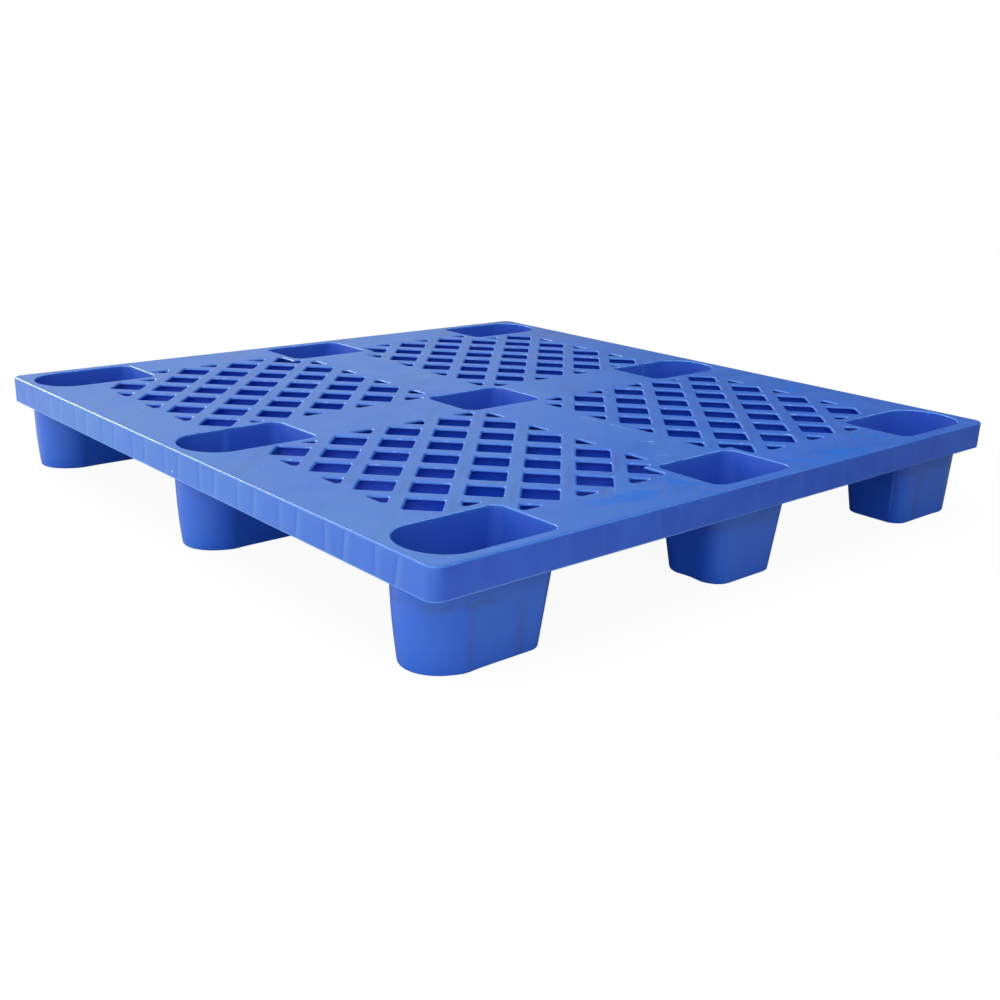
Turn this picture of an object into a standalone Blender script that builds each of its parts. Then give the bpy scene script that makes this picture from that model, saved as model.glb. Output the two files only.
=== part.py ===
"""Nine-leg nestable pallet with an open grid deck, injection moulded in blue HDPE.

The real pallet is a single moulding with no fasteners and nothing that moves. Straight seams divide
the model into the regions of that moulding, each a closed solid: four diagonal grilles, the bands
between and around them, nine hollow legs with their mouths, and the four sides of the rim.

+Z is up. The feet stand on Z = 0 and the origin is under the middle of the deck. The front is -Y.
"""
import math

import bmesh
import bpy

# Whole pallet
SIDE = 1.100
HEIGHT = 0.140
CORNER_RADIUS = 0.017
SEAM_GAP = 0.0003

# Deck plate and the diagonal ribs under it, which run on below the plain bands to the rim
DECK_THICKNESS = 0.0035
RIB_THICKNESS = 0.0028
RIB_DEPTH = 0.036

# Diagonal grid: cell centres sit on every other node of a square mesh with this pitch
CELL_PITCH = 0.04725
PANEL_CELLS = 10
DECK_CELLS = 12
OPENING_HALF_DIAGONAL = 0.0324
PANEL_START = 0.057
PANEL_END = 0.461
SMALLEST_CELL = 0.00012

# Seams between the regions, as distances from the pallet's centre planes
BAND_SEAM = 0.046
SIDE_SEAM = 0.472
MIDDLE_ROW_SEAM = 0.060
OUTER_ROW_SEAM = 0.415
MIDDLE_LEG_SEAM = 0.089
OUTER_LEG_SEAM = 0.347

# Leg cups: the wall, and the mouths and feet as inside half sizes
LEG_WALL = 0.003
FOOT_THICKNESS = 0.0035
FOOT_ROUND = 0.0022
CUP_FLOOR_ROUND = 0.006
MOUTH_ROUND = 0.002
LEG_BORDER = 0.012
OUTER_MOUTH_CENTRE = (0.444, 0.47825)
OUTER_FOOT_CENTRE = (0.450, 0.484)
OUTER_MOUTH_HALF_LENGTH = 0.091
OUTER_FOOT_HALF_LENGTH = 0.080
MIDDLE_MOUTH_HALF_LENGTH = 0.077
MIDDLE_FOOT_HALF_LENGTH = 0.060
MOUTH_HALF_WIDTH = 0.0545
FOOT_HALF_WIDTH = 0.0435
ROUND_END = 0.050
OUTER_LEG_CORNER = 0.018
MIDDLE_LEG_CORNER = 0.024
CORNER_STEPS = 4
ROUND_END_STEPS = 7

# Rim
RIM_DEPTH = 0.040
RIM_WALL = 0.003
RIM_DRAFT = 0.0005
RIM_TOP_ROUND = 0.0025
RIM_MITRE_ANGLE = math.radians(1.2)
RIM_CORNER_STEPS = 4

HALF = SIDE / 2
DECK_UNDERSIDE = HEIGHT - DECK_THICKNESS
RIB_BOTTOM = HEIGHT - RIB_DEPTH
PLATE_EDGE = HALF - RIM_WALL - SEAM_GAP
CUTTER_MARGIN = 0.010

BLUE_DECK = (0.105, 0.270, 0.640, 1.0)
BLUE_LEGS = (0.060, 0.190, 0.560, 1.0)
BLUE_RIM = (0.080, 0.230, 0.600, 1.0)
SATIN_ROUGHNESS = 0.42
SHARP_EDGE_ANGLE = math.radians(35)


def clear_scene():
    for item in list(bpy.data.objects):
        bpy.data.objects.remove(item, do_unlink=True)


def plastic(name, colour):
    """Satin injection-moulded HDPE."""
    material = bpy.data.materials.new(name)
    material.use_nodes = True
    shader = material.node_tree.nodes["Principled BSDF"]
    shader.inputs["Base Color"].default_value = colour
    shader.inputs["Roughness"].default_value = SATIN_ROUGHNESS
    return material


def add_object(name, mesh, material=None, location=(0, 0, 0)):
    item = bpy.data.objects.new(name, mesh)
    item.location = location
    bpy.context.scene.collection.objects.link(item)
    if material and not mesh.materials:
        mesh.materials.append(material)
    return item


def finish_mesh(name, bm):
    """Turn a closed bmesh into a mesh whose faces point out."""
    bmesh.ops.recalc_face_normals(bm, faces=bm.faces)
    mesh = bpy.data.meshes.new(name)
    bm.to_mesh(mesh)
    bm.free()
    return mesh


def shade_round(mesh):
    mesh.shade_smooth()
    mesh.set_sharp_from_angle(angle=SHARP_EDGE_ANGLE)


def blend(start, end, share):
    return start + (end - start) * share


# Outlines and prisms

def diamond(centre, half_diagonal):
    x, y = centre
    return [(x + half_diagonal, y), (x, y + half_diagonal), (x - half_diagonal, y), (x, y - half_diagonal)]


def clip(points, axis, limit, side):
    """Keep the part of a convex outline beyond a limit (side 1) or short of it (side -1)."""
    kept = []
    for here, there in zip(points, points[1:] + points[:1]):
        reach_here = side * (here[axis] - limit)
        reach_there = side * (there[axis] - limit)
        if reach_here >= 0:
            kept.append(here)
        if reach_here * reach_there < 0:
            share = reach_here / (reach_here - reach_there)
            kept.append((blend(here[0], there[0], share), blend(here[1], there[1], share)))
    return kept


def clip_to_square(points, low, high):
    for axis in (0, 1):
        points = clip(points, axis, low, 1)
        points = clip(points, axis, high, -1)
    return points


def area(points):
    total = 0.0
    for here, there in zip(points, points[1:] + points[:1]):
        total += here[0] * there[1] - there[0] * here[1]
    return abs(total) / 2


def mirrored(points, sign_x, sign_y):
    return [(sign_x * x, sign_y * y) for x, y in points]


def rectangle(low_x, high_x, low_y, high_y):
    return [(low_x, low_y), (high_x, low_y), (high_x, high_y), (low_x, high_y)]


def add_prism(bm, points, bottom, top):
    """Add an upright prism over an outline."""
    lower = [bm.verts.new((x, y, bottom)) for x, y in points]
    upper = [bm.verts.new((x, y, top)) for x, y in points]
    bm.faces.new(lower)
    bm.faces.new(upper)
    bridge_rings(bm, lower, upper)


def bridge_rings(bm, first, second):
    count = len(first)
    for index in range(count):
        following = (index + 1) % count
        bm.faces.new((first[index], first[following], second[following], second[index]))


# Grid of openings and coffers

def grid_cells(first, last):
    """Centres of the cells whose column and row both lie between two steps."""
    for column in range(first, last + 1):
        for row in range(first, last + 1):
            if (column + row) % 2:
                yield column * CELL_PITCH, row * CELL_PITCH


def trim_beside_outer_leg(points, centre):
    """A cell centred on an outer leg's border ends at that border."""
    inner_end = OUTER_MOUTH_CENTRE[0] - OUTER_MOUTH_HALF_LENGTH - LEG_BORDER
    near_corner_leg = OUTER_MOUTH_CENTRE[1] - MOUTH_HALF_WIDTH - LEG_BORDER
    near_middle_leg = MOUTH_HALF_WIDTH + LEG_BORDER
    if centre[0] > inner_end and centre[1] > near_corner_leg:
        return clip(points, 1, near_corner_leg, -1)
    if centre[0] > inner_end and centre[1] < near_middle_leg:
        return clip(points, 1, near_middle_leg, 1)
    return points


def opening_outlines():
    """The diamonds that go right through the deck."""
    for centre in grid_cells(1, PANEL_CELLS):
        points = diamond(centre, OPENING_HALF_DIAGONAL)
        points = clip_to_square(points, PANEL_START, PANEL_END)
        points = trim_beside_outer_leg(points, centre)
        inside_middle_leg = centre[0] < MIDDLE_LEG_SEAM and centre[1] > OUTER_ROW_SEAM
        if not inside_middle_leg and area(points) > SMALLEST_CELL:
            for sign_x in (1, -1):
                for sign_y in (1, -1):
                    yield mirrored(points, sign_x, sign_y)


def coffer_outlines():
    """The larger diamonds under the whole deck, which leave a thin rib under the middle of each bar."""
    half_diagonal = CELL_PITCH - RIB_THICKNESS / math.sqrt(2)
    reach = HALF + CUTTER_MARGIN
    for centre in grid_cells(-DECK_CELLS, DECK_CELLS):
        points = clip_to_square(diamond(centre, half_diagonal), -reach, reach)
        if area(points) > SMALLEST_CELL:
            yield points


def make_cutter(name, outlines, bottom, top):
    bm = bmesh.new()
    for points in outlines:
        add_prism(bm, points, bottom, top)
    cutter = add_object(name, finish_mesh(name, bm))
    cutter.hide_render = True
    cutter.display_type = "WIRE"
    return cutter


# Deck regions

def deck_region(name, span_x, span_y, cutters, material):
    """One rectangle of the deck, plate and ribs together, half a seam gap short on each side."""
    half_gap = SEAM_GAP / 2
    low_x, high_x = min(span_x) + half_gap, max(span_x) - half_gap
    low_y, high_y = min(span_y) + half_gap, max(span_y) - half_gap
    centre_x, centre_y = (low_x + high_x) / 2, (low_y + high_y) / 2
    outline = rectangle(low_x - centre_x, high_x - centre_x, low_y - centre_y, high_y - centre_y)
    bm = bmesh.new()
    add_prism(bm, outline, RIB_BOTTOM, HEIGHT)
    region = add_object(name, finish_mesh(name, bm), material, (centre_x, centre_y, 0))
    for cutter in cutters:
        cut = region.modifiers.new(cutter.name, "BOOLEAN")
        cut.operation = "DIFFERENCE"
        cut.solver = "EXACT"
        cut.object = cutter


def build_deck(material):
    openings = make_cutter(
        "opening_cutter", opening_outlines(), RIB_BOTTOM - CUTTER_MARGIN, HEIGHT + CUTTER_MARGIN)
    coffers = make_cutter(
        "coffer_cutter", coffer_outlines(), RIB_BOTTOM - CUTTER_MARGIN, DECK_UNDERSIDE)
    cutters = (coffers, openings)
    edge = PLATE_EDGE + SEAM_GAP / 2
    for row, sign_y in (("front", -1), ("back", 1)):
        long_span = (sign_y * MIDDLE_ROW_SEAM, sign_y * OUTER_ROW_SEAM)
        outer_span = (sign_y * OUTER_ROW_SEAM, sign_y * edge)
        deck_region(f"centre_band_{row}", (-BAND_SEAM, BAND_SEAM), long_span, [coffers], material)
        for side, sign_x in (("left", -1), ("right", 1)):
            grille_span = (sign_x * BAND_SEAM, sign_x * SIDE_SEAM)
            side_span = (sign_x * SIDE_SEAM, sign_x * edge)
            between_legs = (sign_x * MIDDLE_LEG_SEAM, sign_x * OUTER_LEG_SEAM)
            deck_region(f"grille_{row}_{side}", grille_span, long_span, cutters, material)
            deck_region(f"side_band_{row}_{side}", side_span, long_span, [coffers], material)
            deck_region(f"{row}_band_{side}", between_legs, outer_span, cutters, material)
    for side, sign_x in (("left", -1), ("right", 1)):
        between_legs = (sign_x * MIDDLE_LEG_SEAM, sign_x * OUTER_LEG_SEAM)
        middle_span = (-MIDDLE_ROW_SEAM, MIDDLE_ROW_SEAM)
        deck_region(f"middle_band_{side}", between_legs, middle_span, cutters, material)


# Legs

class LegShape:
    """The inside surface of a leg in the +X +Y quarter, as a tapering outline."""

    def __init__(self, outer_column, outer_row):
        self.outer_column = outer_column
        self.outer_row = outer_row

    def centre(self, share):
        x = blend(OUTER_FOOT_CENTRE[0], OUTER_MOUTH_CENTRE[0], share) if self.outer_column else 0.0
        y = blend(OUTER_FOOT_CENTRE[1], OUTER_MOUTH_CENTRE[1], share) if self.outer_row else 0.0
        return x, y

    def half_length(self, share):
        if self.outer_column:
            return blend(OUTER_FOOT_HALF_LENGTH, OUTER_MOUTH_HALF_LENGTH, share)
        return blend(MIDDLE_FOOT_HALF_LENGTH, MIDDLE_MOUTH_HALF_LENGTH, share)

    def outline(self, height, offset):
        """Points around the leg at a height, moved out by an offset, starting from its +X end."""
        share = height / HEIGHT
        centre_x, centre_y = self.centre(share)
        length = self.half_length(share) + offset
        width = blend(FOOT_HALF_WIDTH, MOUTH_HALF_WIDTH, share) + offset
        corner = (OUTER_LEG_CORNER if self.outer_column else MIDDLE_LEG_CORNER) + offset
        round_end = (ROUND_END + offset, width, ROUND_END_STEPS)
        plain = (corner, corner, CORNER_STEPS)
        plus_x = round_end if self.outer_column else plain
        quarters = ((1, 1, plus_x), (-1, 1, plain), (-1, -1, plain), (1, -1, plus_x))
        points = []
        for turn, (sign_x, sign_y, (round_x, round_y, steps)) in enumerate(quarters):
            arc_x = centre_x + sign_x * (length - round_x)
            arc_y = centre_y + sign_y * (width - round_y)
            for step in range(steps + 1):
                angle = math.pi / 2 * (turn + step / steps)
                points.append((arc_x + round_x * math.cos(angle), arc_y + round_y * math.sin(angle)))
        if self.outer_column:
            points.pop()
        return points

    def bounds(self):
        """The rectangle of deck that belongs to the leg."""
        half_gap = SEAM_GAP / 2
        leg_seam = MIDDLE_LEG_SEAM - half_gap
        row_seam = MIDDLE_ROW_SEAM - half_gap
        span_x = (OUTER_LEG_SEAM + half_gap, PLATE_EDGE) if self.outer_column else (-leg_seam, leg_seam)
        span_y = (OUTER_ROW_SEAM + half_gap, PLATE_EDGE) if self.outer_row else (-row_seam, row_seam)
        return span_x, span_y

    def border(self):
        """The rectangle's edge, with one point for each point of the mouth."""
        (low_x, high_x), (low_y, high_y) = self.bounds()
        centre_x, centre_y = self.centre(1.0)
        points = []
        for x, y in self.outline(HEIGHT, 0.0):
            run_x, run_y = x - centre_x, y - centre_y
            reach_x = abs(((high_x if run_x > 0 else low_x) - centre_x) / run_x) if run_x else math.inf
            reach_y = abs(((high_y if run_y > 0 else low_y) - centre_y) / run_y) if run_y else math.inf
            reach = min(reach_x, reach_y)
            points.append((centre_x + run_x * reach, centre_y + run_y * reach))
        for corner in rectangle(low_x, high_x, low_y, high_y):
            nearest = min(range(len(points)), key=lambda index: math.dist(points[index], corner))
            points[nearest] = corner
            if self.outer_column and self.outer_row and corner == (high_x, high_y):
                self.round_border_corner(points, nearest, corner)
        return points

    def round_border_corner(self, points, nearest, corner):
        """Follow the pallet's own rounded corner, inside the rim."""
        radius = CORNER_RADIUS - (HALF - PLATE_EDGE)
        for step in (-1, 0, 1):
            angle = math.pi / 4 * (1 + step)
            across = corner[0] - radius + radius * math.cos(angle)
            along = corner[1] - radius + radius * math.sin(angle)
            points[nearest + step] = (across, along)


def build_leg(name, outer_column, outer_row, sign_x, sign_y, material):
    """A tapering cup, open at the deck and closed at the foot, with its piece of deck around it."""
    shape = LegShape(outer_column, outer_row)
    foot_x, foot_y = shape.centre(0.0)
    border = shape.border()
    diagonal_rise = FOOT_ROUND * (1 - math.sqrt(0.5))
    levels = [
        (FOOT_THICKNESS, shape.outline(0.0, -CUP_FLOOR_ROUND)),
        (FOOT_THICKNESS + CUP_FLOOR_ROUND, shape.outline(FOOT_THICKNESS + CUP_FLOOR_ROUND, 0.0)),
        (HEIGHT - MOUTH_ROUND, shape.outline(HEIGHT, 0.0)),
        (HEIGHT, shape.outline(HEIGHT, MOUTH_ROUND)),
        (HEIGHT, border),
        (DECK_UNDERSIDE, border),
        (DECK_UNDERSIDE, shape.outline(DECK_UNDERSIDE, LEG_WALL)),
        (FOOT_ROUND, shape.outline(FOOT_ROUND, LEG_WALL)),
        (diagonal_rise, shape.outline(0.0, LEG_WALL - diagonal_rise)),
        (0.0, shape.outline(0.0, LEG_WALL - FOOT_ROUND)),
    ]
    bm = bmesh.new()
    rings = []
    for height, points in levels:
        ring = [bm.verts.new((sign_x * (x - foot_x), sign_y * (y - foot_y), height)) for x, y in points]
        rings.append(ring)
    for first, second in zip(rings, rings[1:]):
        bridge_rings(bm, first, second)
    bm.faces.new(rings[0])
    bm.faces.new(rings[-1])
    mesh = finish_mesh(name, bm)
    shade_round(mesh)
    add_object(name, mesh, material, (sign_x * foot_x, sign_y * foot_y, 0))


def build_legs(material):
    for row, sign_y in (("front", -1), ("middle", 0), ("back", 1)):
        for column, sign_x in (("left", -1), ("centre", 0), ("right", 1)):
            name = f"leg_{row}_{column}"
            build_leg(name, sign_x != 0, sign_y != 0, sign_x or 1, sign_y or 1, material)


# Rim

def rim_profile():
    """Section of the rim as (depth behind the outer face, height)."""
    diagonal = RIM_TOP_ROUND * (1 - math.sqrt(0.5))
    return [
        (RIM_WALL, HEIGHT),
        (RIM_TOP_ROUND, HEIGHT),
        (diagonal, HEIGHT - diagonal),
        (0.0, HEIGHT - RIM_TOP_ROUND),
        (RIM_DRAFT, HEIGHT - RIM_DEPTH),
        (RIM_WALL, HEIGHT - RIM_DEPTH),
    ]


def rim_mesh():
    """The rim along the +X side, ending half way round the corner at each end."""
    arc_centre = HALF - CORNER_RADIUS
    sweep = math.pi / 4 - RIM_MITRE_ANGLE
    bm = bmesh.new()
    rings = []
    for side in (-1, 1):
        for step in range(RIM_CORNER_STEPS + 1):
            share = step / RIM_CORNER_STEPS
            angle = side * sweep * (share if side > 0 else 1 - share)
            ring = []
            for depth, height in rim_profile():
                radius = CORNER_RADIUS - depth
                x = arc_centre + radius * math.cos(angle)
                y = side * arc_centre + radius * math.sin(angle)
                ring.append(bm.verts.new((x, y, height)))
            rings.append(ring)
    for first, second in zip(rings, rings[1:]):
        bridge_rings(bm, first, second)
    bm.faces.new(rings[0])
    bm.faces.new(rings[-1])
    mesh = finish_mesh("rim", bm)
    shade_round(mesh)
    return mesh


def build_rim(material):
    mesh = rim_mesh()
    for quarter, side in enumerate(("right", "back", "left", "front")):
        rim = add_object(f"rim_{side}", mesh, material)
        rim.rotation_euler.z = quarter * math.pi / 2


def main():
    clear_scene()
    build_deck(plastic("deck_plastic", BLUE_DECK))
    build_legs(plastic("leg_plastic", BLUE_LEGS))
    build_rim(plastic("rim_plastic", BLUE_RIM))


main()
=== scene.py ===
import math

import bmesh
import bpy
from mathutils import Matrix, Vector


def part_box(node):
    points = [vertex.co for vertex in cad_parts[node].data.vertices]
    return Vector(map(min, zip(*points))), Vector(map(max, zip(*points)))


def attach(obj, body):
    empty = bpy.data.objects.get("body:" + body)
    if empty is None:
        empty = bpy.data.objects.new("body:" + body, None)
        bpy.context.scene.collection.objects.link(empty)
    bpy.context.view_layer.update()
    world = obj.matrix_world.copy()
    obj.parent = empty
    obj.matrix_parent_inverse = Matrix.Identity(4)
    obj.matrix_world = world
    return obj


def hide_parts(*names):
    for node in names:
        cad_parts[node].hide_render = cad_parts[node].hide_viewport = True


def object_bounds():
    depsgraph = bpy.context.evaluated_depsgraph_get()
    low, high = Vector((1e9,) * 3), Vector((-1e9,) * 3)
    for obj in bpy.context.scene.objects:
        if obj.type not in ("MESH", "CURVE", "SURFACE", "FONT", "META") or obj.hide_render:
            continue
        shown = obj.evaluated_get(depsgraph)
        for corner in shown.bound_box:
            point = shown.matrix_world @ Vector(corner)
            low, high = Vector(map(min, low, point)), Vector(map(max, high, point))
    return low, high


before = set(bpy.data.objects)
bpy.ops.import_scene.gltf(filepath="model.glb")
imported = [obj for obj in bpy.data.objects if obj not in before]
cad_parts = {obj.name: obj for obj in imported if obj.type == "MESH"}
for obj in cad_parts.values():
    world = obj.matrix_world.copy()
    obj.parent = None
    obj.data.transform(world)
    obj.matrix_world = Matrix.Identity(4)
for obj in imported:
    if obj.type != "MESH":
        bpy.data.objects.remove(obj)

MM = 0.001
CAD_LOW, CAD_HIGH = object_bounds()

# Overall sizes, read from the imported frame
HALF = CAD_HIGH.x
TOP = CAD_HIGH.z
RIM_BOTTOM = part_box("rim_right")[0].z
RIB_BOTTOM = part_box("grille_back_right")[0].z

# Half the seam between neighbouring CAD solids, which the deck pieces close
HALF_GAP = 0.15 * MM

# Deck plate and ribs
PLATE = 3.5 * MM
CEILING = TOP - PLATE
PITCH = 47.25 * MM
RIB = 2.8 * MM
RIB_EDGE_ROUND = 0.6 * MM
COFFER_CELLS = range(-12, 13)
COFFER_CORNER = 2.0 * MM
COFFER_DRAFT = 0.3 * MM
COFFER_ROOT_ROUND = 1.3 * MM

# Openings: a checkerboard of diamonds in each quarter, cut off at the panel's limits
OPENING = 32.4 * MM
OPENING_CORNER = 3.6 * MM
OPENING_EDGE_ROUND = 2.9 * MM
OPENING_FOOT_ROUND = 0.5 * MM
SMALLEST_OPENING = 60 * MM * MM
PANEL_START, PANEL_END = 57 * MM, 461 * MM
OPENING_CELLS = range(1, 11)
PLATED_CELLS = ((1, 10), (9, 10), (10, 9), (10, 1))
CENTRE_LEG_CELL = (2, 9)
CENTRE_LEG_NOTCH = (89.5 * MM, 417 * MM)

# Cells that stop short of a leg, as (axis, limit, side kept)
SHORT_CELLS = {
    (8, 9): (1, 411 * MM, -1),
    (8, 1): (1, 65 * MM, 1),
    (2, 1): (0, 79 * MM, 1),
    (7, 10): (0, 346 * MM, -1),
}

# Cups: centres of the outer ones as (x, y)
OUTER_MOUTH = (444 * MM, 478.25 * MM)
OUTER_FOOT = (450 * MM, 484 * MM)

# Cups: inside sizes as (at the floor, at the deck)
OUTER_HALF_LENGTHS = (80 * MM, 91 * MM)
MIDDLE_HALF_LENGTHS = (60 * MM, 77 * MM)
HALF_WIDTHS = (43.5 * MM, 54.5 * MM)
OUTER_CORNERS = (19 * MM, 15 * MM)
MIDDLE_CORNERS = (24 * MM, 18 * MM)
ROUND_END = 50 * MM

# Cups: steps of a plain corner and of half the round end, parts of each side
CORNER_STEPS, ROUND_END_STEPS = 7, 16
SIDE_PARTS = (12, 6, 12, 6)

# Cups: walls and rounded edges
CUP_WALL = 3.0 * MM
CUP_BASE = 3.5 * MM
CUP_FLOOR_ROUND = 6 * MM
MOUTH_ROUND = 1.9 * MM
FOOT_ROUND = 1.8 * MM
FOOT_RING = 4 * MM
FOOT_DISH_SLOPE = 2 * MM
FOOT_DISH = 0.9 * MM

# Fillet of a leg under the plate, as (height over the plate's underside, spread)
LEG_ROOT = ((-0.8 * MM, 0.5 * MM), (0.4 * MM, 2.0 * MM), (1.5 * MM, 2.0 * MM))
LEG_ROOT_START = -2.5 * MM

# Cups: how far the cooling walls bulge or sink
ROUND_END_BELLY = 3.5 * MM
LONG_SIDE_SWELL = 1.3 * MM
FLAT_END_HOLLOW = 3.6 * MM
FLAT_END_SWELL = 1.2 * MM
FLAT_END_BELLY = 1.5 * MM

# Rim
RIM_WALL = 3.0 * MM
RIM_INSIDE = HALF - RIM_WALL
RIM_CORNER = 17 * MM
RIM_DRAFT = 0.5 * MM
RIM_TOP_ROUND = 3.2 * MM
RIM_FOOT_ROUND = 0.9 * MM
RIM_FACE = 2.2 * MM
RIM_STATIONS = 620

# Creases of the +X side, two in each period, as (place, lean, depth)
CREASE_PERIOD = 2 * PITCH
CREASES = ((16 * MM, -6 * MM, 0.30 * MM), (-21 * MM, 0.0, 0.24 * MM))
CREASE_REACH = 9 * MM
CREASE_BLUNTNESS = 1.2 * MM

# Fine creases of the +X side beside the middle and the outer legs
FINE_CREASES = (-8 * PITCH, -2 * PITCH, 2 * PITCH, 8 * PITCH)
FINE_CREASE_DEPTH = 0.10 * MM
FINE_CREASE_REACH = 5 * MM

# Meshes
EDGE_START = math.radians(14)
SHARP_ANGLE = math.radians(38)
SPECK = 0.004 * MM


# Outlines

def blend(start, end, share):
    return start + (end - start) * share


def smooth_step(share):
    share = min(1.0, max(0.0, share))
    return share * share * (3 - 2 * share)


def bump_at(distance, width):
    """A bell of height 1 around zero."""
    return math.exp(-(distance / width) ** 2)


def quarter_turn(steps):
    """Angles from 0 to a right angle, both included."""
    return [math.pi / 2 * step / steps for step in range(steps + 1)]


def divided(start, end, parts):
    """Evenly spaced values from the first after the start to the end."""
    return [blend(start, end, step / parts) for step in range(1, parts + 1)]


def diamond(x, y, reach):
    return [(x + reach, y), (x, y + reach), (x - reach, y), (x, y - reach)]


def cut(points, axis, limit, side):
    """Keep the part of a convex outline beyond a limit (side 1) or short of it (side -1)."""
    kept = []
    for here, there in zip(points, points[1:] + points[:1]):
        reach_here = side * (here[axis] - limit)
        reach_there = side * (there[axis] - limit)
        if reach_here >= 0:
            kept.append(here)
        if reach_here * reach_there < 0:
            share = reach_here / (reach_here - reach_there)
            kept.append((blend(here[0], there[0], share), blend(here[1], there[1], share)))
    return kept


def area(points):
    total = 0.0
    for here, there in zip(points, points[1:] + points[:1]):
        total += here[0] * there[1] - there[0] * here[1]
    return total / 2


def unit(dx, dy):
    length = math.hypot(dx, dy)
    return dx / length, dy / length


def rounded(points, radius, offset, steps):
    """A counter-clockwise outline moved out by an offset, its convex corners rounded."""
    ring = []
    for before, here, after in zip(points[-1:] + points[:-1], points, points[1:] + points[:1]):
        in_x, in_y = unit(here[0] - before[0], here[1] - before[1])
        out_x, out_y = unit(after[0] - here[0], after[1] - here[1])
        first, second = (in_y, -in_x), (out_y, -out_x)
        spread = 1 + first[0] * second[0] + first[1] * second[1]
        corner_x, corner_y = (first[0] + second[0]) / spread, (first[1] + second[1]) / spread
        if in_x * out_y - in_y * out_x < 0:
            ring.append((here[0] + offset * corner_x, here[1] + offset * corner_y))
            continue
        centre_x, centre_y = here[0] - radius * corner_x, here[1] - radius * corner_y
        start = math.atan2(first[1], first[0])
        turn = (math.atan2(second[1], second[0]) - start) % (2 * math.pi)
        for step in range(steps + 1):
            angle = start + turn * step / steps
            ring.append((centre_x + (radius + offset) * math.cos(angle),
                         centre_y + (radius + offset) * math.sin(angle)))
    return ring


def mirrored(points, sign_x, sign_y):
    """Mirror an outline and keep it counter-clockwise."""
    ring = [(sign_x * x, sign_y * y) for x, y in points]
    return ring if sign_x * sign_y > 0 else ring[::-1]


def span(points, axis):
    return min(p[axis] for p in points), max(p[axis] for p in points)


# Cells of the grid

def quarter_openings():
    """Outlines of the openings in the +X +Y quarter, before rounding."""
    for cell in ((column, row) for column in OPENING_CELLS for row in OPENING_CELLS):
        column, row = cell
        if (column + row) % 2 == 0 or cell in PLATED_CELLS or cell == CENTRE_LEG_CELL:
            continue
        points = diamond(column * PITCH, row * PITCH, OPENING)
        for axis in (0, 1):
            points = cut(points, axis, PANEL_START, 1)
            points = cut(points, axis, PANEL_END, -1)
        if cell in SHORT_CELLS:
            points = cut(points, *SHORT_CELLS[cell])
        yield points
    yield beside_centre_leg()


def beside_centre_leg():
    """The cell that stops short of the back centre leg's pocket, with a notch for its border."""
    x, y = [place * PITCH for place in CENTRE_LEG_CELL]
    notch_x, notch_y = CENTRE_LEG_NOTCH
    return [
        (x + OPENING, y),
        (x, y + OPENING),
        (notch_x, y + OPENING - (x - notch_x)),
        (notch_x, notch_y),
        (x - OPENING + (y - notch_y), notch_y),
        (x, y - OPENING),
    ]


def opening_outlines():
    """Outlines of all the openings, without the slivers that the cuts leave."""
    for points in quarter_openings():
        if area(points) < SMALLEST_OPENING:
            continue
        for sign_x in (1, -1):
            for sign_y in (1, -1):
                yield mirrored(points, sign_x, sign_y)


def coffer_outlines():
    """Outlines of the hollows between the diagonal ribs."""
    reach = PITCH - RIB / math.sqrt(2)
    for column in COFFER_CELLS:
        for row in COFFER_CELLS:
            if (column + row) % 2:
                yield diamond(column * PITCH, row * PITCH, reach)


# Solids and Booleans

def loft(bm, rings):
    """A closed solid through rings of equal length."""
    loops = [[bm.verts.new(point) for point in ring] for ring in rings]
    for first, second in zip(loops, loops[1:]):
        count = len(first)
        for index in range(count):
            following = (index + 1) % count
            bm.faces.new((first[index], first[following], second[following], second[index]))
    bm.faces.new(loops[0])
    bm.faces.new(loops[-1])


def at_height(points, z):
    return [(x, y, z) for x, y in points]


def to_mesh(name, bm):
    bmesh.ops.recalc_face_normals(bm, faces=bm.faces)
    mesh = bpy.data.meshes.new(name)
    bm.to_mesh(mesh)
    bm.free()
    return mesh


def new_object(name, bm):
    """An object made from a bmesh, put in the scene."""
    item = bpy.data.objects.new(name, to_mesh(name, bm))
    bpy.context.scene.collection.objects.link(item)
    return item


def edge_round(radius, steps, overshoot):
    """Section of a rounded edge as (drop below the surface, spread), run on past the surface."""
    section = []
    for angle in [EDGE_START] + divided(EDGE_START, math.pi / 2, steps):
        section.append((radius * (1 - math.cos(angle)), radius * (1 - math.sin(angle))))
    drop, spread = section[0]
    run_on = (-overshoot, spread + (drop + overshoot) / math.tan(EDGE_START))
    return [run_on] + section


def opening_section():
    """Section of an opening's wall as (height, offset)."""
    high = edge_round(OPENING_EDGE_ROUND, steps=4, overshoot=0.3 * MM)
    low = edge_round(OPENING_FOOT_ROUND, steps=2, overshoot=0.2 * MM)
    return ([(TOP - drop, spread) for drop, spread in high]
            + [(CEILING + drop, spread) for drop, spread in reversed(low)])


def coffer_section():
    """Section of a coffer's wall as (height, offset), from its ceiling to past the rib's lower edge."""
    bend = 0.38 * COFFER_ROOT_ROUND
    root = [(CEILING, -COFFER_ROOT_ROUND - COFFER_DRAFT), (CEILING - bend, -bend - COFFER_DRAFT),
            (CEILING - COFFER_ROOT_ROUND, -COFFER_DRAFT)]
    low = edge_round(RIB_EDGE_ROUND, steps=2, overshoot=0.1 * MM)
    return root + [(RIB_BOTTOM + drop, spread) for drop, spread in reversed(low)]


def overlaps(points, low_x, high_x, low_y, high_y):
    (x0, x1), (y0, y1) = span(points, 0), span(points, 1)
    return x1 > low_x and x0 < high_x and y1 > low_y and y0 < high_y


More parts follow.
